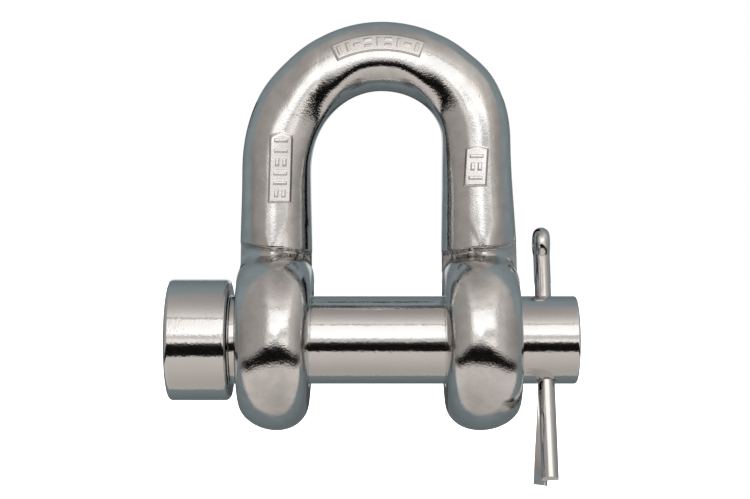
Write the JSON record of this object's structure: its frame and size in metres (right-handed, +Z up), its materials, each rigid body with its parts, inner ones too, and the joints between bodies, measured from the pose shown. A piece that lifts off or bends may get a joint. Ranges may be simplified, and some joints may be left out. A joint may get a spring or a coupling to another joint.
{
  "type": "dee shackle",
  "caption": "Forged D-shaped link with two rounded eyes, closed by a headed clevis pin that a split cotter keeps in place; joins a lug or chain to a hook or sling.",
  "frame": {"origin": "crown seat: the point on the inside of the crown, midway between the eyes, where a hook or sling bears", "axes": "+Z up through the crown, +X along the pin from its head to its tip, +Y through the bow towards the side that the cotter's loop leans to"},
  "size_m": [0.0877, 0.039, 0.0993],
  "materials": {
    "forged_steel": "forged stainless steel, ground and polished to a mirror with fine pits left in it",
    "turned_steel": "turned stainless steel, polished, with faint turning lines round it",
    "wire_steel": "drawn half-round stainless wire, bright, with faint draw lines along it"
  },
  "bodies": {
    "bow": {"bow": "forged_steel"},
    "pin": {"clevis_pin": "turned_steel"},
    "cotter": {"cotter_pin": "wire_steel"}
  },
  "joints": [
    {"name": "pin_turn", "type": "hinge", "parent": "bow", "child": "pin", "pos_m": [0, 0, -0.0538], "axis": [1, 0, 0], "continuous": true},
    {"name": "cotter_drop", "type": "slide", "parent": "pin", "child": "cotter", "axis": [0, -0.3502, -0.9367], "range_m": [0, 0.009]}
  ]
}
